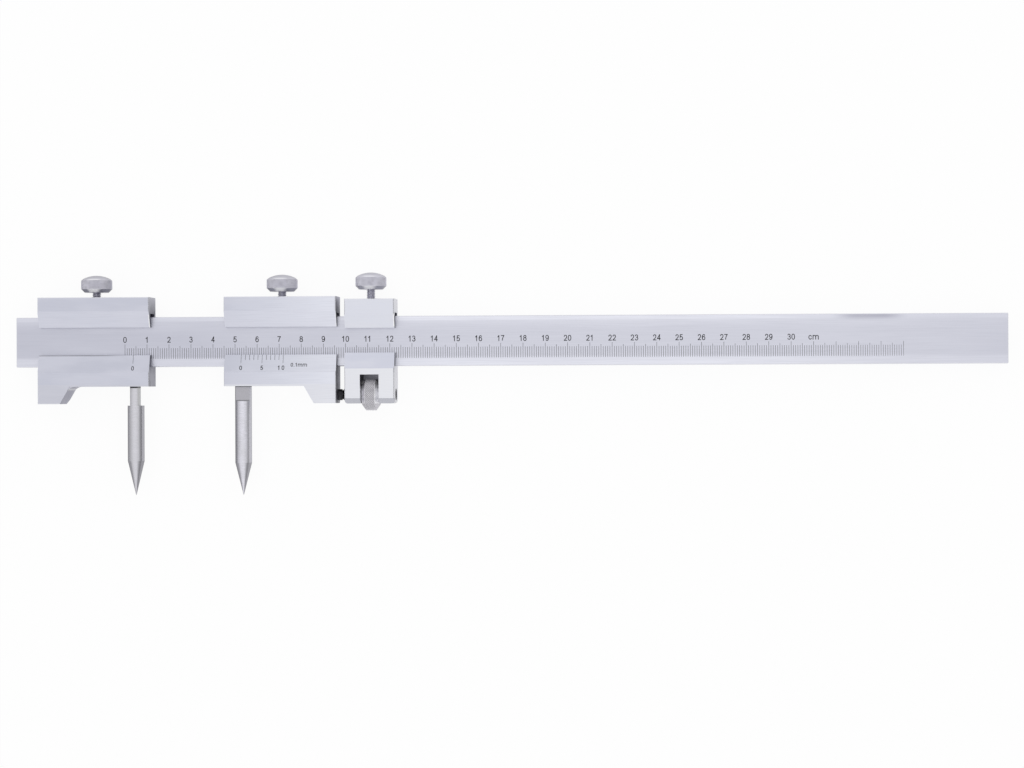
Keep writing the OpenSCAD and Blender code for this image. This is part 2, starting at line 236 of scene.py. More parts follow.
def turnedSteel(name, look, axis):  # lathe marks run round the axis
    material, shader, spot = startMaterial(name)
    x, y, z = axisParts(spot)
    facing = axisParts(spot.add("TexCoord", out="Normal"))
    lengths = [ringRun] * 3
    lengths[axis] = look["ring"]
    rings, ringsShown = marks(spot, "rings", lengths)
    cloudShown = marks(spot, "cloud", look["cloud"])[1]
    face = layered(look["tone"], [laid(ringsShown, look["ringFinish"]),
                                  laid(cloudShown, look["cloudFinish"])])
    face = layered(face, look.get("zones", noZones)(x, y, z, facing))
    rough = rings * look["roughSwing"] + look["rough"]
    finishShader(shader, face, rough, rings, look["bump"], metalShare(look, facing))
    return material


def dress(names, material):
    for name in names:
        nodes[name].data.materials.clear()
        nodes[name].data.materials.append(material)


def beamZones(x, y, z, rise):
    share = (y - beamLow.y) / (beamHigh.y - beamLow.y)
    front = rise > beamLook["front"]
    # painted reflection: bright bands along the upper and lower margins of the front
    sheenBands = share.curve(beamLook["across"]) * x.curve(beamLook["along"]) * front
    stain = x.between(*beamLook["stainAlong"]) * share.ramp(*beamLook["stainUp"]) * front
    return [(sheenBands, beamLook["sheenTone"]), laid(stain, beamLook["stain"])]


def beamEnds(x, y, z, ends, rise):
    # painted shade: the end faces darker than the front
    return [laid(ends, beamLook["end"])]


beamLook = {
    "grain": (18 * mm, 0.22 * mm, 0.22 * mm), "cloud": (60 * mm, 9 * mm, 9 * mm), "pitSize": 0.35 * mm,
    # painted shading: the face is lighter in the middle of the beam and darker towards both ends, where
    # less light shines back
    "alongStops": [(-0.223, 0.2), (-0.14, 0.3), (-0.1, 0.6), (-0.04, 0.9), (0.06, 1), (0.165, 1),
                   (0.223, 0.65)],
    "toneLow": tone(197, 13, -1), "toneHigh": tone(216, 11, -1), "zones": beamZones, "front": 0.85,
    # painted reflection of the lamps: brightness over the height and along the front, 0 in the middle and 1
    # on the bright margins
    "across": [(0, 0.9), (0.14, 0.85), (0.17, 0.5), (0.2, 0.05), (0.25, 0), (0.7, 0), (0.76, 0.08),
               (0.88, 0.35), (0.905, 0.5), (0.92, 0.9), (0.96, 1), (1, 0.8)],
    "along": [(-0.223, 0.6), (-0.14, 0.55), (-0.06, 1), (0.11, 1), (0.15, 0.55), (0.18, 0.4),
              (0.223, 0.35)],
    "sheenTone": tone(238, 10, -1),
    "stainAlong": (0.156, 0.167, 0.013), "stainUp": (0.86, 0.96), "stain": (0.8, tone(168, 15)),
    "top": (0.6, tone(200, 10)), "end": (0.7, tone(150, 6)), "ends": beamEnds,
    "edge": (0.7, tone(228, 6)), "grainFinish": (0.25, tone(190, 12, -1)),
    "cloudFinish": (0.25, tone(220, 11, -1)), "pitFinish": (0.25, tone(176, 8)), "recesses": noZones,
    "rough": 0.3, "roughSwing": 0.16, "endRough": 0.1, "edgePolish": 0.1, "bump": 0.004 * mm,
}
dress(["beam"], groundSteel("satinBeamSteel", beamLook))

lipLook = {  # what the lips of the slides and the carriage share
    # painted shade in the groove over the beam
    "gapUp": (-0.02 * mm, 1.52 * mm), "gapOut": (2.7 * mm, 11.9 * mm), "gapTone": tone(134, 14),
    # painted highlight at the right corners of the upper lips
    "cornerUp": 1 * mm, "cornerWidth": 0.42 * mm, "cornerPast": 0.1 * mm, "cornerHighlightTone": tone(254, 1),
    "bevelRise": (0.7, 0.97), "dullFacing": (-0.9, -0.5), "dullShare": 0.8,
}


def gibGap(y, z):  # painted shade in the groove over the beam and on the faces that look into it
    low, high = [beamHigh.y + v for v in lipLook["gapUp"]]
    return y.inside(low, high) * z.inside(*lipLook["gapOut"]), lipLook["gapTone"]


def lipEnds(y, z, ends):  # the shaded ends of the two lips over the beam
    return ends * y.inside(beamLow.y, beamHigh.y) * (z > beamHigh.z)


def lipCorner(x, y, right):  # painted highlight on the corner where the upper lip meets its end
    up = y.inside(windowHigh, beamHigh.y + lipLook["cornerUp"])
    return up * x.inside(right - lipLook["cornerWidth"], right + lipLook["cornerPast"])


def dullCorner(nx, ny, nz):  # worn corners at the left, which would mirror the next piece
    return nx.inside(*lipLook["dullFacing"]) * lipLook["dullShare"]


blockLook = {  # the steel of the slides and the carriage, where they don't differ
    "grain": (14 * mm, 0.25 * mm, 0.25 * mm), "cloud": (22 * mm, 7 * mm, 7 * mm), "pitSize": 0.35 * mm,
    "dull": dullCorner, "top": (0.6, tone(205, 8)), "edge": (0.6, tone(232, 5)),
    "pitFinish": (0.22, tone(168, 8)),
    "rough": 0.32, "roughSwing": 0.14, "endRough": 0.12, "edgePolish": 0.12, "bump": 0.004 * mm,
}


def slideZones(x, y, z, rise):
    look = slideLook
    # painted shading: lighter upper bevels, darker lower bevels, and a lighter leg on the main slide than
    # on the left one
    bevels = rise.inside(*lipLook["bevelRise"])
    upper = bevels * (y > beamHigh.y - look["upperBevelFoot"])
    lower = bevels * y.inside(beamLow.y - look["lowerBevelFoot"], beamLow.y + look["lowerBevelTop"])
    leg = (y < beamLow.y - look["legTop"]) * (rise > lipLook["bevelRise"][1])
    main = x > look["between"]
    # painted shadow where the left slide's lower lip meets the beam, along the window's lower edge, fading
    # out to the right
    lipShadow = y.inside(windowLow - look["lineWidth"], windowLow) * (1 - x.ramp(*look["lineFade"]))
    # painted highlights at the upper lips' right corners
    corners = lipCorner(x, y, leftHigh.x) + lipCorner(x, y, mainHigh.x) * look["mainCorner"]
    return [laid(upper, look["upperBevel"]), laid(lower, look["lowerBevel"]),
            laid(leg * main, look["mainLeg"]), laid(leg * (1 - main), look["leftLeg"]),
            laid(lipShadow, look["lipShadow"]), laid(corners, look["corner"])]


# painted shade on the slides' end faces, darker below their top edge and darkest at the lips' ends; painted
# shade on the left leg's inner flank and at the main slide's low end beside the carriage, and painted light
# on the feet below the spindle
def slideEnds(x, y, z, ends, rise):
    look = slideLook
    shade = x.curve(look["endStops"]).tinted(look["leftEnd"], look["mainEnd"])
    shade = y.curve(look["endFade"]).tinted(shade, look["endDark"])
    flank = (abs(rise) < look["flankRise"]) * (x < look["flankRight"])
    flank = flank * (y < beamLow.y - look["flankTop"])
    foot = ends * (y < beamLow.y - look["footTop"])
    low, left = ends * (y < beamLow.y), x < look["between"]
    return [(ends * look["endShare"], shade), (lipEnds(y, z, ends), look["lipEndTone"]),
            (flank * (1 - ends), look["flankTone"]), laid(foot, look["foot"]),
            laid(low * left, look["leftLowEnd"]), laid(low * (1 - left), look["mainLowEnd"])]


def slideRecesses(x, y, z):
    return [gibGap(y, z)]


slideLook = {
    # painted shading: the slides are darker to the left and lighter to the right, where more light falls
    **blockLook, "alongStops": [(-0.22, 0), (-0.128, 0.08), (-0.08, 1)],
    "toneLow": tone(205, 13, -2), "toneHigh": tone(233, 10, -2), "zones": slideZones,
    "between": -0.13,  # the x between the two slides
    "upperBevelFoot": 6 * mm, "upperBevel": (0.4, tone(228, 11, -1)),
    "lowerBevelFoot": 4 * mm, "lowerBevelTop": 6 * mm, "lowerBevel": (0.12, tone(20)),
    "legTop": 8 * mm, "leftLeg": (0.5, tone(208, 8)), "mainLeg": (0.7, tone(234, 5, -1)),
    "lineWidth": 0.33 * mm, "lineFade": (-0.19, -0.165), "lipShadow": (0.9, tone(90, 6)),
    # painted highlight on the upper lips' right corners
    "mainCorner": 0.5, "corner": (0.9, tone(254, 1)),
    "endStops": [(-0.162, 0), (-0.1615, 0), (-0.0775, 1), (-0.077, 1)],
    "leftEnd": tone(200, 8), "mainEnd": tone(196, 13),
    "endFade": [(0.004, 0.62), (0.008, 0.72), (0.032, 0.86), (0.0392, 0)], "endDark": tone(80, 7),
    "endShare": 0.95, "ends": slideEnds, "lipEndTone": tone(92, 8),
    "flankRise": 0.2, "flankRight": -0.18, "flankTop": 8.75 * mm, "flankTone": tone(168, 14),
    "footTop": 15.2 * mm, "foot": (0.7, tone(170, 6)),
    "leftLowEnd": (0.045, tone(238, 17)), "mainLowEnd": (0.15, tone(60, 3)),
    "grainFinish": (0.26, tone(194, 12, -1)), "cloudFinish": (0.25, tone(222, 10)),
    "recesses": slideRecesses,
}
dress(["left_slide", "main_slide"], groundSteel("satinSlideSteel", slideLook))


def carriageZones(x, y, z, rise):
    look = carriageLook
    # the upper part darker, and painted shade on the lower lip's bevel
    upper = y > beamLow.y + look["upperFoot"]
    lower = rise.inside(*lipLook["bevelRise"]) * (y > beamLow.y - look["lowerBevelFoot"]) * (1 - upper)
    return [laid(upper, look["upper"]), (lower, look["lowerBevelTone"]),
            (lipCorner(x, y, carriageHigh.x), lipLook["cornerHighlightTone"])]


def carriageEnds(x, y, z, ends, rise):
    look = carriageLook
    # painted shade on the end faces: the left end, which faces the main slide, darker than the right, and
    # the lips' ends darker still
    shade = x.curve(look["endStops"]).tinted(look["leftEnd"], look["rightEnd"])
    lips = lipEnds(y, z, ends) * (x > carriageHigh.x - look["lipEndDepth"])
    return [(ends * look["endShare"], shade), (lips, look["lipEndTone"])]


def carriageRecesses(x, y, z):
    look = carriageLook
    # painted shade in the nut's slot, darkening its walls towards the ceiling, on the web behind it, in the
    # spindle's hole and on the foot's bevel
    slot = (abs(x - nutMiddle.x) < look["slotSide"]) * (y < beamLow.y - look["slotCeiling"])
    hole = distance(y - nutMiddle.y, z - axisHeight) < look["hole"]
    walls = y.ramp(*look["wallFade"]).tinted(look["wallLight"], look["wallDark"])
    height = look["footHeight"]
    foot = (y < carriageLow.y + height) * z.inside(frontHeight - height, frontHeight - look["footSkin"])
    return [gibGap(y, z), (slot * (z > look["web"]), walls), (slot * (z < look["web"]), look["webTone"]),
            (hole, look["holeTone"]), (foot, look["footTone"])]


carriageLook = {
    **blockLook, "alongStops": [(-0.075, 0), (-0.05, 1)],
    "toneLow": tone(233, 6, -1), "toneHigh": tone(237, 5, -1), "zones": carriageZones,
    "upperFoot": 10 * mm, "upper": (0.8, tone(224, 11, -2)),
    "lowerBevelFoot": 3 * mm, "lowerBevelTone": tone(209, 13, -2),
    "endStops": [(-0.075, 0), (-0.05, 1)],
    "leftEnd": tone(160, 6), "rightEnd": tone(246, 5), "endShare": 0.85, "ends": carriageEnds,
    "lipEndDepth": 1 * mm, "lipEndTone": tone(118, 8),
    "grainFinish": (0.18, tone(216, 8)), "cloudFinish": (0.25, tone(230, 6)),
    "recesses": carriageRecesses,
    # painted shade in the slot, on its web, in the hole and on the foot
    "slotSide": 4.22 * mm, "slotCeiling": 3.83 * mm, "web": 2.02 * mm, "webTone": tone(152, 8),
    "wallFade": (-0.0035, 0.0008), "wallLight": tone(250, 4), "wallDark": tone(110, 5),
    "hole": 2.7 * mm, "holeTone": tone(16, 1),
    "footHeight": 2.42 * mm, "footSkin": 0.02 * mm, "footTone": tone(192, 8, -1),
}
dress(["carriage"], groundSteel("satinCarriageSteel", carriageLook))

springLook = {
    "tone": tone(112, 5), "ring": 0.3 * mm, "ringFinish": (0.6, tone(80, 5)),
    "cloud": (5 * mm, 2 * mm, 2 * mm), "cloudFinish": (0.5, tone(70, 2, 4)),
    "rough": 0.3, "roughSwing": 0.2, "bump": 0.002 * mm,
}
pinLook = {**springLook, "tone": tone(150, 4)}
springs = ["left_gib_spring", "main_gib_spring", "carriage_gib_spring"]
dress(springs, turnedSteel("springStrip", springLook, 1))
dress(["spindle_pin"], turnedSteel("groundDowel", pinLook, 2))
print("flat pieces dressed")

scriberLook = {
    "ring": 0.16 * mm, "ringFinish": (0.5, tone(196, 5)),
    "cloud": (4 * mm, 9 * mm, 4 * mm), "cloudFinish": (0.35, tone(202, 4)),
    "rough": 0.2, "roughSwing": 0.1, "bump": 0.0015 * mm,
    "stud": 6.2 * mm, "radius": 3.75 * mm, "skin": 0.04 * mm, "core": 0.1 * mm, "stepHeight": 0.5 * mm,
    # painted shade on the round's sides, its left rim and the cone's sides, by how far a face is turned to
    # the front: from the first value down it is shaded in full
    "sides": (0.7, 0.9), "sideTone": tone(163, 6, 1), "rim": (0.6, 0.85), "rimTone": tone(104, 6, 1),
    "coneSides": (0.82, 0.98), "cone": (0.6, tone(140, 6, 1)),
}
scriberEnds = {  # where the two differ: flats, cone, the painted contact shadow under the slide, and the painted shading; the main scriber's lighter tone is painted light
    "left_scriber": {
        "tone": tone(214, 7, 1), "flats": 8.6 * mm, "flat": (0.9, tone(199, 3)),
        "step": (0.8, tone(190, 5)), "coneHeight": 15.4 * mm, "contactShadowHeight": 0.7 * mm,
        "contactShadow": (0.95, tone(50, 3)), "sideShare": 0.76, "rimShare": 0.6},
    "main_scriber": {
        "tone": tone(229, 10, 1), "flats": 6.7 * mm, "flat": (0.9, tone(171, 6, 1)),
        "step": (0.8, tone(128, 5, 1)), "coneHeight": 14.5 * mm, "contactShadowHeight": 0.35 * mm,
        "contactShadow": (0.95, tone(100, 3)), "sideShare": 0.55, "rimShare": 0.8},
}


def scriberZones(name, own):
    look = scriberLook
    low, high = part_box(name)
    underside = high.y - look["stud"]
    middle = (low.x + high.x) / 2

    def zones(x, y, z, facing):
        out = z - axisHeight
        across = distance(x - middle, out)
        height = out / across.top(look["core"])  # 1 on top of the round, 0 at its sides
        flats = (across < look["radius"] - look["skin"]) * (y > underside - own["flats"])
        turned = 1 - flats
        sides = (1 - height.ramp(*look["sides"])) * turned
        rim = (1 - height.ramp(*look["rim"])) * (x < middle) * turned
        cone = (1 - height.ramp(*look["coneSides"])) * (y < low.y + own["coneHeight"])
        step = flats * (y < underside - own["flats"] + look["stepHeight"])
        # painted shade on the sides, the left rim, the cone, the flats and their step, and a painted
        # contact shadow under the slide
        return [(sides * own["sideShare"], look["sideTone"]), (rim * own["rimShare"], look["rimTone"]),
                laid(cone, look["cone"]), laid(flats, own["flat"]), laid(step, own["step"]),
                laid(y > underside - own["contactShadowHeight"], own["contactShadow"])]
    return zones


for name, own in scriberEnds.items():
    finish = {**scriberLook, "tone": own["tone"], "zones": scriberZones(name, own)}
    dress([name], turnedSteel(name + "_steel", finish, 1))
print("scribers dressed")

spindleLook = {
    "tone": tone(56, 3), "ring": 0.3 * mm, "ringFinish": (0.5, tone(84, 4)),
    "cloud": (3 * mm, 2 * mm, 2 * mm), "cloudFinish": (0.5, tone(26, 1)),
    "rough": 0.34, "roughSwing": 0.2, "bump": 0.004 * mm,
}
dress(["adjusting_spindle"], turnedSteel("blackedSpindle", spindleLook, 0))
print("spindle dressed")


def linked(name, mesh):  # a new object from a bmesh
    data = bpy.data.meshes.new(name)
    mesh.normal_update()
    mesh.to_mesh(data)
    mesh.free()
    piece = bpy.data.objects.new(name, data)
    bpy.context.scene.collection.objects.link(piece)
    return piece


sharpAngle = math.radians(32)


def lathe(name, rows, place, closed=False):  # rows of (count, height, radius of angle and height)
    mesh = bmesh.new()
    loops = []
    for count, height, radius in rows:
        loop = []
        for i in range(count):
            a = 2 * math.pi * i / count
            r = radius(a, height)
            loop.append(mesh.verts.new(place @ Vector((r * math.cos(a), r * math.sin(a), height))))
        loops.append(loop)
    pairs = list(zip(loops, loops[1:]))
    if closed:
        pairs.append((loops[-1], loops[0]))
    else:
        mesh.faces.new(loops[0][::-1])
        mesh.faces.new(loops[-1])
    for a, b in pairs:  # a face spans one edge of the coarser loop and all that it meets of the finer
        few, many = (a, b) if len(a) <= len(b) else (b, a)
        step = len(many) // len(few)
        for i in range(len(few)):
            j = (i + 1) % len(few)
            far = [many[(i * step + k) % len(many)] for k in range(step + 1)]
            ring = [few[i], few[j]] + far[::-1]
            mesh.faces.new(ring if few is a else ring[::-1])
    piece = linked(name, mesh)
    piece.data.polygons.foreach_set("use_smooth", [True] * len(piece.data.polygons))
    piece.data.set_sharp_from_angle(angle=sharpAngle)
    return piece


def knurl(radius, teeth, pitch, depth):  # two crossed sets of V grooves cut into a rim
    def at(a, height):
        u = teeth * a / (2 * math.pi)
        v = height / pitch
        crests = [1 - abs(2 * ((w % 1.0) - 0.5)) for w in (u + v, u - v)]
        return radius - depth * (1 - min(1.0, 1.35 * min(crests)))  # over 1, so that teeth keep a flat
    return at


def thread(outer, pitch, depth):  # one groove that climbs by its pitch on each turn
    def at(a, height):
        turn = (height / pitch - a / (2 * math.pi)) % 1.0
        return outer - depth * min(1.0, abs(2 * turn - 1) * 1.25)  # over 1, so that the root is flat
    return at


def plain(radius):
    return lambda a, height: radius


def spread(low, high, count):
    return [low + (high - low) * i / count for i in range(count + 1)]


def clampScrew(side, look):
    node = side + "_clamp_screw"
    low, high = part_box(node)
    inner = look["radius"] - look["under"]
    outer = look["radius"] - look["shoulder"]
    domeFoot = look["under"] + look["band"] + look["shoulder"]
    dome = look["crown"] - math.sqrt(look["crown"] ** 2 - outer ** 2)
    seat = high.y - domeFoot - dome  # the head's underside
    reach = seat - low.y - look["dogLength"]
    teeth = knurl(look["radius"], look["teeth"], look["pitch"], look["depth"])
    helix = thread(look["thread"] / 2, look["threadPitch"], look["threadShare"] * look["threadPitch"])
    few, many, rings = look["fewer"], look["around"], look["crownRings"]

    def rim(a, h):
        return min(inner + h, outer + domeFoot - h, teeth(a, h))

    rows = [(few, -reach - look["dogLength"], plain(look["dog"] - look["dogEdge"])),
            (few, -reach - look["dogLength"] + look["dogEdge"], plain(look["dog"])),
            (few, -reach, plain(look["dog"]))]
    threadTop = -look["relief"]
    turns = round((reach + threadTop) / (look["threadPitch"] / look["threadSteps"]))
    rows += [(few, h, helix) for h in spread(-reach, threadTop, turns)]
    rows += [(few, threadTop / 2, plain(look["neck"])), (few, 0, plain(look["neck"]))]
    rows += [(many, h, rim) for h in spread(0, domeFoot, round(domeFoot / look["rise"]))]
    start = math.asin(outer / look["crown"])
    for t in spread(start, start / (rings + 1), rings)[1:]:
        height = domeFoot + dome - look["crown"] * (1 - math.cos(t))
        rows.append((look["crownAround"], height, plain(look["crown"] * math.sin(t))))
    middle = Vector(((low.x + high.x) / 2, seat, axisHeight))
    place = Matrix.Translation(middle) @ Matrix.Rotation(-math.pi / 2, 4, "X")
    piece = lathe(side + "ClampScrew", rows, place)
    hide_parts(node)
    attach(piece, node)
    return piece


def litChamfer(ny, nz):  # the chamfer under the band in front, where the room's light thrown back is painted on as a highlight
    return ny.inside(*screwLook["chamferFacing"]) * nz.ramp(*screwLook["frontFacing"])


def screwZones(x, y, z, facing):  # painted highlights on the crown and chamfer in front, painted shade on the crown and chamfer around them and on faces turned to the right, and painted light on the screws further right
    look = screwLook
    nx, ny, nz = facing
    crown = ny.ramp(*look["crownFacing"])
    return [laid(crown, look["crownFinish"]),
            laid(crown * nz.ramp(*look["frontFacing"]), look["crownLight"]),
            laid(ny.inside(*look["chamferFacing"]), look["chamferFinish"]),
            laid(litChamfer(ny, nz), look["chamferLight"]),
            laid(nx.ramp(*look["sideFacing"]), look["sideFinish"]),
            laid(x.ramp(*look["lighterAlong"]), look["lighterFinish"])]


def screwDull(nx, ny, nz):
    return litChamfer(ny, nz) * screwLook["dullShare"]


screwLook = {
    # head from its underside up, then the shank down to the dog point
    "radius": 6.95 * mm, "under": 1.55 * mm, "band": 3.7 * mm, "shoulder": 0.8 * mm, "crown": 13 * mm,
    "teeth": 54, "pitch": 0.82 * mm, "depth": 0.22 * mm, "around": 324, "rise": 0.1 * mm, "fewer": 36,
    "crownAround": 108, "crownRings": 7, "relief": 0.35 * mm, "neck": 1.7 * mm,
    "thread": 4 * mm, "threadPitch": 0.7 * mm, "threadShare": 0.61, "threadSteps": 8,
    "dog": 1.1 * mm, "dogLength": 0.4 * mm, "dogEdge": 0.15 * mm,
    "tone": tone(210, 10, 1), "ring": 0.2 * mm, "ringFinish": (0.5, tone(188, 9, 1)),
    "cloud": (2 * mm, 2 * mm, 2 * mm), "cloudFinish": (0.4, tone(176, 9, 1)), "zones": screwZones,
    # painted highlights and shade on the heads
    "crownFacing": (0.55, 0.65), "crownFinish": (0.5, tone(196, 8, 1)), "crownLight": (0.5, tone(253, 2)),
    "frontFacing": (0.6, 0.7), "chamferFacing": (-0.8, -0.6), "chamferFinish": (0.9, tone(160, 6)),
    "chamferLight": (0.8, tone(253, 2)), "sideFacing": (0.75, 1), "sideFinish": (0.55, tone(124, 4)),
    "lighterAlong": (-0.12, -0.075), "lighterFinish": (0.25, tone(228, 12, 1)),
    "dull": screwDull, "dullShare": 0.8, "rough": 0.28, "roughSwing": 0.16, "bump": 0.003 * mm,
}
screwSteel = turnedSteel("knurledSteel", screwLook, 1)
for side in ("left", "main", "carriage"):
    clampScrew(side, screwLook).data.materials.append(screwSteel)
print("clamp screws made")


def adjustingNut(look):
    teeth = knurl(look["radius"], look["teeth"], look["pitch"], look["depth"])
    shoulder = look["radius"] - look["bevelDepth"]
    slope = look["bevelDepth"] / look["bevel"]

    def rim(a, h):
        return min(shoulder + (look["half"] - abs(h)) * slope, teeth(a, h))

    steps = round(2 * look["half"] / look["rise"])
    rows = [(look["fewer"], -look["half"], plain(look["bore"]))]
    rows += [(look["around"], h, rim) for h in spread(-look["half"], look["half"], steps)]
    rows += [(look["fewer"], look["half"], plain(look["bore"]))]
    place = Matrix.Translation(nutMiddle) @ Matrix.Rotation(math.pi / 2, 4, "Y")
    piece = lathe("adjustingNut", rows, place, True)
    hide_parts("adjusting_nut")
    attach(piece, "adjusting_nut")
    return piece


def nutZones(x, y, z, facing):  # painted light and shade: bevels darker than the rim, lighter in the slot by their side and darker below it, painted highlights on the edges in the slot, and painted shade in the bottoms of the knurl
    look = nutLook
    across = distance(y - nutMiddle.y, z - axisHeight)
    off = abs(x - nutMiddle.x)
    bevel = off > look["half"] - look["bevel"]
    groove = (1 - across.ramp(look["radius"] - look["depth"], look["radius"])) * (1 - bevel)
    edge = off.inside(*[look["half"] - v for v in look["edge"]])
    left = facing[0] < 0
    inSlot = y > carriageLow.y
    return [laid(bevel, look["bevelFinish"]), laid(bevel * left * inSlot, look["leftBevel"]),
            laid(bevel * (1 - left) * inSlot, look["rightBevel"]),
            laid(bevel * left * (1 - inSlot), look["footBevel"]), laid(groove, look["groove"]),
            (edge * inSlot, look["edgeHighlightTone"])]


nutLook = {
    "radius": 7.2 * mm, "half": 3.95 * mm, "bevel": 1.75 * mm, "bevelDepth": 2.4 * mm, "bore": 2.55 * mm,
    "teeth": 54, "pitch": 0.84 * mm, "depth": 0.26 * mm, "around": 324, "rise": 0.1 * mm, "fewer": 36,
    "tone": tone(252, 5, 2), "ring": 0.2 * mm, "ringFinish": (0.5, tone(226, 7, 2)),
    "cloud": (2 * mm, 2 * mm, 2 * mm), "cloudFinish": (0.4, tone(218, 7, 2)), "zones": nutZones,
    # painted light and shade on the bevels, edges and knurl
    "bevelFinish": (0.9, tone(206, 6, 2)), "leftBevel": (0.9, tone(226, 6, 2)),
    "rightBevel": (0.9, tone(253, 3)), "footBevel": (0.9, tone(182, 6, 2)),
    "groove": (0.85, tone(128, 5)), "edge": (0.55 * mm, 0.05 * mm), "edgeHighlightTone": tone(253, 3),
    "metallic": 0.5, "rough": 0.36, "roughSwing": 0.16, "bump": 0.003 * mm,
}
adjustingNut(nutLook).data.materials.append(turnedSteel("nutSteel", nutLook, 0))
print("nut made")

inkLook = {  # dark paint in the lines, worn thin towards the beam's free end
    "tone": tone(46, 4), "patch": 0.5 * mm, "worn": (0.35, tone(84, 6)),
    "fadeAlong": (0.13, 0.175), "faded": (0.6, tone(130, 8)), "rough": 0.55, "roughSwing": 0.2,
    "bump": 0.002 * mm,
}


def inkPaint(look):
    material, shader, spot = startMaterial("engravingInk")
    x = axisParts(spot)[0]
    wear, wearShown = marks(spot, "wear", [look["patch"]] * 3)
    fade = x.ramp(*look["fadeAlong"])
    colour = layered(look["tone"], [laid(wearShown, look["worn"]), laid(fade, look["faded"])])
    finishShader(shader, colour, wear * look["roughSwing"] + look["rough"], wear, look["bump"], 0.0)
    return material


ink = inkPaint(inkLook)


def inked(piece, body):
    piece.data.materials.append(ink)
    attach(piece, body)


def box(mesh, place, low, high):
    for v in bmesh.ops.create_cube(mesh, size=1.0)["verts"]:
        v.co = place @ Vector([low[k] if v.co[k] < 0 else high[k] for k in range(3)])


strokeLook = {"proud": 0.008 * mm, "sunk": -0.03 * mm, "steps": 4}


def ribbon(mesh, place, points, width, closed):  # flat stroke with a square section through the points
    count = len(points)
    sunk, proud = strokeLook["sunk"], strokeLook["proud"]
    rings = []
    for i, p in enumerate(points):
        before = points[(i - 1) % count] if closed or i else p
        after = points[(i + 1) % count] if closed or i < count - 1 else p
        ahead = (after - before).normalized()
        side = Vector((-ahead.y, ahead.x)) * width / 2
        corners = [(p + side, sunk), (p + side, proud), (p - side, proud), (p - side, sunk)]
        rings.append([mesh.verts.new(place @ Vector((q.x, q.y, z))) for q, z in corners])
    pairs = list(zip(rings, rings[1:]))
    if closed:
        pairs.append((rings[-1], rings[0]))
    else:
        mesh.faces.new(rings[0][::-1])
        mesh.faces.new(rings[-1])
    for a, b in pairs:
        for k in range(4):
            mesh.faces.new((a[k], a[(k + 1) % 4], b[(k + 1) % 4], b[k]))


def throughPoints(points, closed):  # smooth curve through the points
    count, steps = len(points), strokeLook["steps"]
    out = []
    for i in range(count if closed else count - 1):
        places = [(i + k) % count if closed else max(0, min(count - 1, i + k)) for k in (-1, 0, 1, 2)]
        near = [points[place] for place in places]
        for s in range(steps):
            t = s / steps
            out.append(0.5 * (2 * near[1] + (near[2] - near[0]) * t
                              + (2 * near[0] - 5 * near[1] + 4 * near[2] - near[3]) * t ** 2
                              + (3 * near[1] - near[0] - 3 * near[2] + near[3]) * t ** 3))
    return out if closed else out + [points[-1]]


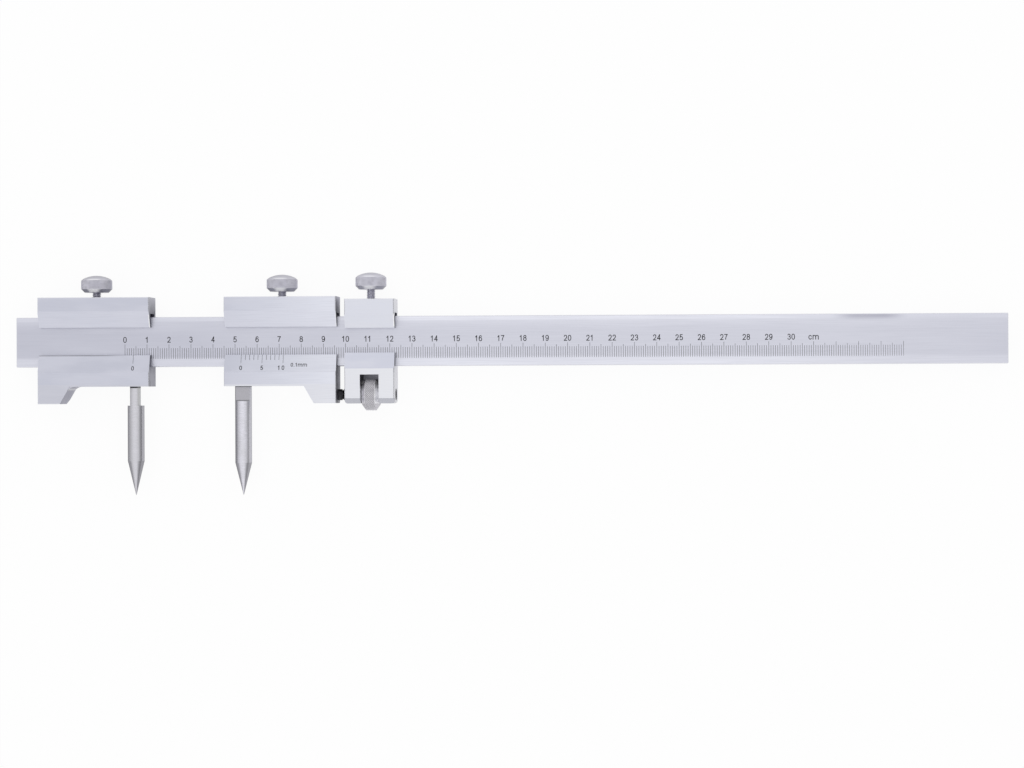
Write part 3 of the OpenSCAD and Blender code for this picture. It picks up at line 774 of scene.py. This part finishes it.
sixCurve = [(0.94, 0.8), (0.8, 0.96), (0.5, 1), (0.16, 0.86), (0, 0.48), (0.06, 0.18), (0.26, 0.02),
            (0.5, 0), (0.84, 0.06), (1, 0.31), (0.86, 0.55), (0.54, 0.63), (0.2, 0.54), (0.03, 0.34)]
glyphs = {  # strokes in a unit box: straight lines, open curves and closed loops
    "0": [("loop", [(0, 0.5), (0.1, 0.86), (0.5, 1), (0.9, 0.86), (1, 0.5), (0.9, 0.14), (0.5, 0),
                    (0.1, 0.14)])],
    "1": [("line", [(0.14, 0.76), (0.6, 0.96)]), ("line", [(0.6, 1), (0.6, 0)])],
    "2": [("curve", [(0.04, 0.7), (0.14, 0.92), (0.5, 1), (0.86, 0.92), (0.96, 0.7), (0.8, 0.45),
                     (0.3, 0.17), (0.02, 0)]),
          ("line", [(0.02, 0), (1, 0)])],
    "3": [("curve", [(0.06, 0.76), (0.2, 0.95), (0.5, 1), (0.82, 0.93), (0.9, 0.75), (0.76, 0.58),
                     (0.4, 0.53)]),
          ("curve", [(0.4, 0.53), (0.82, 0.49), (1, 0.28), (0.84, 0.07), (0.5, 0), (0.16, 0.06),
                     (0.02, 0.26)])],
    "4": [("line", [(0.76, 0), (0.76, 1)]), ("line", [(0.76, 1), (0, 0.27)]),
          ("line", [(0, 0.27), (1, 0.27)])],
    "5": [("line", [(0.9, 1), (0.2, 1)]), ("line", [(0.2, 1), (0.08, 0.47)]),
          ("curve", [(0.08, 0.47), (0.3, 0.6), (0.6, 0.62), (0.92, 0.5), (1, 0.3), (0.88, 0.08), (0.5, 0),
                     (0.16, 0.06), (0, 0.24)])],
    "6": [("curve", sixCurve)],
    "7": [("line", [(0, 1), (1, 1)]), ("curve", [(1, 1), (0.66, 0.66), (0.44, 0.32), (0.34, 0)])],
    "8": [("loop", [(0.08, 0.77), (0.2, 0.94), (0.5, 1), (0.8, 0.94), (0.92, 0.77), (0.8, 0.6), (0.5, 0.54),
                    (0.2, 0.6)]),
          ("loop", [(0, 0.27), (0.14, 0.47), (0.5, 0.54), (0.86, 0.47), (1, 0.27), (0.86, 0.07), (0.5, 0),
                    (0.14, 0.07)])],
    "9": [("curve", [(1 - x, 1 - y) for x, y in sixCurve])],
    "c": [("curve", [(0.96, 0.5), (0.78, 0.69), (0.5, 0.74), (0.14, 0.64), (0, 0.37), (0.14, 0.1), (0.5, 0),
                     (0.8, 0.06), (0.98, 0.26)])],
    "m": [("line", [(0, 0), (0, 0.74)]), ("line", [(0.5, 0), (0.5, 0.5)]), ("line", [(1, 0), (1, 0.5)]),
          ("curve", [(0, 0.5), (0.1, 0.68), (0.27, 0.74), (0.44, 0.68), (0.5, 0.48)]),
          ("curve", [(0.5, 0.5), (0.6, 0.68), (0.77, 0.74), (0.94, 0.68), (1, 0.48)])],
    ".": [("line", [(0.45, 0), (0.55, 0)])],
}
glyphWidths = {"m": 1.75, ".": 0.4, "1": 0.9}  # shares of a figure's width


def figures(mesh, text, place, style):  # text centred on the place, its foot on the place's x axis
    widths = [glyphWidths.get(letter, 1.0) * style["width"] for letter in text]
    start = -(sum(widths) + style["gap"] * (len(text) - 1)) / 2
    stroke = style["stroke"]
    rise = style["height"] - stroke
    for letter, wide in zip(text, widths):
        left = start + stroke / 2
        for kind, unit in glyphs[letter]:
            points = [Vector((left + u * (wide - stroke), stroke / 2 + v * rise)) for u, v in unit]
            if kind == "line":
                ahead = (points[1] - points[0]).normalized() * stroke / 2
                ribbon(mesh, place, [points[0] - ahead, points[1] + ahead], stroke, False)
            else:
                ribbon(mesh, place, throughPoints(points, kind == "loop"), stroke, kind == "loop")
        start += wide + style["gap"]


def lineLength(i, look):  # the tenth lines are the longest, and the fifth ones next
    return look["long"] if i % 10 == 0 else look["middle"] if i % 5 == 0 else look["short"]


scaleLook = {
    "zero": beamLow.x + 49.5 * mm, "edge": beamLow.y, "front": beamHigh.z, "base": 3.6 * mm,
    "length": 350, "short": 4.9 * mm, "middle": 5.8 * mm, "long": 6.6 * mm, "width": 0.16 * mm,
    "depth": 0.08 * mm, "gap": 0.01 * mm, "figures": 31, "figureFoot": 10.95 * mm,
    "figure": {"height": 2.65 * mm, "width": 1.55 * mm, "gap": 0.3 * mm, "stroke": 0.36 * mm},
}


def beamScale(look):
    lines = bmesh.new()
    half = look["width"] / 2
    for i in range(look["length"] + 1):
        x = look["zero"] + i * mm
        foot = look["edge"] + look["base"]
        box(lines, Matrix(), (x - half, foot, look["front"] - look["depth"]),
            (x + half, foot + lineLength(i, look), look["front"] - look["gap"]))
    inked(linked("scaleLines", lines), "beam")
    numbers = bmesh.new()
    for i in range(look["figures"] + 1):
        text = str(i) if i < look["figures"] else "cm"
        foot = (look["zero"] + i * 10 * mm, look["edge"] + look["figureFoot"], look["front"])
        figures(numbers, text, Matrix.Translation(foot), look["figure"])
    inked(linked("scaleFigures", numbers), "beam")


beamScale(scaleLook)

vernierLook = {
    "step": 1.9 * mm, "width": 0.22 * mm, "short": 2.5 * mm, "middle": 4 * mm, "long": 4 * mm,
    "inset": 7.5 * mm, "lipEdge": 2.5 * mm, "lipRun": 7.9 * mm,
    "figureFoot": -7.3 * mm, "tenShift": 0.8 * mm,
    "figure": {"height": 2.1 * mm, "width": 1.2 * mm, "gap": 0.75 * mm, "stroke": 0.32 * mm},
    "unitPlace": 26.2 * mm, "unitFoot": -5.75 * mm,
    "unit": {"height": 1.8 * mm, "width": 1.1 * mm, "gap": 0.25 * mm, "stroke": 0.28 * mm},
}
mainZero = mainLow.x + vernierLook["inset"]
leftZero = leftHigh.x - vernierLook["inset"]


def lipPlace(x, y=0.0):  # a place on the lower lip's bevel, y running up the slope to the window
    edge = (x, windowLow, beamHigh.z + vernierLook["lipEdge"])
    slope = math.atan2(frontHeight - beamHigh.z - vernierLook["lipEdge"], vernierLook["lipRun"])
    return Matrix.Translation(edge) @ Matrix.Rotation(-slope, 4, "X") @ Matrix.Translation((0, y, 0))


def lipLines(name, body, zero, count):
    lines = bmesh.new()
    half = vernierLook["width"] / 2
    gap = scaleLook["gap"]
    for i in range(count + 1):
        box(lines, lipPlace(zero + i * vernierLook["step"]),
            (-half, -lineLength(i, vernierLook), -scaleLook["depth"]), (half, -gap, -gap))
    inked(linked(name, lines), body)


def lipFigures(name, body, placed):
    numbers = bmesh.new()
    for text, x, y, style in placed:
        figures(numbers, text, lipPlace(x, y), style)
    inked(linked(name, numbers), body)


lipLines("vernierLines", "main_slide", mainZero, 10)
lipLines("leftZeroLine", "left_slide", leftZero, 0)
figureFoot, figureStyle = vernierLook["figureFoot"], vernierLook["figure"]
lipFigures("vernierFigures", "main_slide", [
    ("0", mainZero, figureFoot, figureStyle),
    ("5", mainZero + 5 * vernierLook["step"], figureFoot, figureStyle),
    ("10", mainZero + 10 * vernierLook["step"] - vernierLook["tenShift"], figureFoot, figureStyle),
    ("0.1mm", mainZero + vernierLook["unitPlace"], vernierLook["unitFoot"], vernierLook["unit"])])
lipFigures("leftZeroFigure", "left_slide", [("0", leftZero, figureFoot, figureStyle)])
print("graduations made")

stageLook = {"half": 4.0, "drop": 0.02 * mm, "tone": (0.97, 0.97, 0.97, 1), "rough": 0.9, "shown": 0.93}


def whiteFloor(look):  # plain white to the camera and in reflections, and it keeps the shadow
    data = bpy.data.meshes.new("floor")
    half = look["half"]
    corners = [(-half, -half, 0), (half, -half, 0), (half, half, 0), (-half, half, 0)]
    data.from_pydata(corners, [], [(0, 1, 2, 3)])
    floor = bpy.data.objects.new("floor", data)
    bpy.context.scene.collection.objects.link(floor)
    floor.location.z = -look["drop"]
    material = bpy.data.materials.new("whiteFloor")
    material.use_nodes = True
    tree = material.node_tree
    start = Signal(tree)
    rays = [start.add("LightPath", out=kind) for kind in
            ("Is Camera Ray", "Is Glossy Ray", "Is Transmission Ray")]
    seen = rays[0].top(rays[1]).top(rays[2]) * look["shown"]
    shader = tree.nodes["Principled BSDF"]
    shader.inputs["Base Color"].default_value = look["tone"]
    shader.inputs["Roughness"].default_value = look["rough"]
    white = start.add("Emission", None, {"Color": (1, 1, 1, 1), "Strength": 1.0})
    mixed = start.add("MixShader", None, {0: seen, 1: Signal(tree, shader.outputs[0]), 2: white})
    tree.links.new(mixed.socket, tree.nodes["Material Output"].inputs["Surface"])
    data.materials.append(material)


whiteFloor(stageLook)

skyLook = {  # light by its direction along x: full overhead, darker towards both sides
    "along": [(-1, 0.62), (-0.8, 0.8), (-0.45, 0.97), (-0.2, 1), (0.2, 1), (0.45, 0.9), (0.75, 0.74),
              (0.9, 0.6), (1, 0.56)],
    "level": 0.97,
}


def studioSky(look):
    world = bpy.data.worlds.new("studio")
    bpy.context.scene.world = world
    world.use_nodes = True
    tree = world.node_tree
    start = Signal(tree)
    along = axisParts(start.add("TexCoord", out="Generated"))[0]
    glow = along.curve(look["along"]) * look["level"]
    seen = start.add("LightPath", out="Is Camera Ray")
    colour = seen.tinted(glow, (1, 1, 1, 1))
    tree.links.new(colour.socket, tree.nodes["Background"].inputs["Color"])


studioSky(skyLook)

lampLook = [
    {"name": "overheadBox", "place": (-0.6, 1.5, 1.0), "size": (0.9, 0.7), "watts": 1.0},
    {"name": "sideBox", "place": (1.3, 0.5, 1.3), "size": (0.6, 0.9), "watts": 0.6},
]


def softBox(look):
    lamp = bpy.data.lights.new(look["name"], "AREA")
    lamp.shape = "RECTANGLE"
    lamp.size, lamp.size_y = look["size"]
    lamp.energy = look["watts"]
    thing = bpy.data.objects.new(look["name"], lamp)
    thing.location = look["place"]
    thing.rotation_euler = (-Vector(look["place"])).to_track_quat("-Z", "Y").to_euler()
    bpy.context.scene.collection.objects.link(thing)


for look in lampLook:
    softBox(look)

cameraLook = {  # as the photo's scale gives it: metres, degrees, and pixels of the photo's frame
    "place": (0.0844, -0.00307, 1.1598), "yaw": 2.34, "pitch": 0.12, "roll": -0.23,
    "focus": 2569.0, "shift": 80.0, "width": 1024, "sensor": 36, "near": 0.01,
}


def turnedPair(a, b, angle):  # both axes turned in their own plane
    return math.cos(angle) * a + math.sin(angle) * b, math.cos(angle) * b - math.sin(angle) * a


def photoCamera(look):
    yaw, pitch, roll = (math.radians(look[k]) for k in ("yaw", "pitch", "roll"))
    ahead = Vector((-math.sin(yaw), 0, -math.cos(yaw)))
    right = Vector((math.cos(yaw), 0, -math.sin(yaw)))
    up = Vector((0, 1, 0))
    ahead, up = turnedPair(ahead, up, pitch)
    right, up = turnedPair(right, up, roll)
    data = bpy.data.cameras.new("camera")
    data.sensor_width = look["sensor"]
    data.lens = look["focus"] / look["width"] * look["sensor"]
    data.sensor_fit = "HORIZONTAL"
    data.shift_x = -look["shift"] / look["width"]
    data.clip_start = look["near"]
    camera = bpy.data.objects.new("camera", data)
    turn = Matrix((right, up, -ahead)).transposed().to_4x4()
    camera.matrix_world = Matrix.Translation(look["place"]) @ turn
    bpy.context.scene.collection.objects.link(camera)
    bpy.context.scene.camera = camera


photoCamera(cameraLook)
bpy.context.scene.view_settings.view_transform = "Standard"
print("stage set")
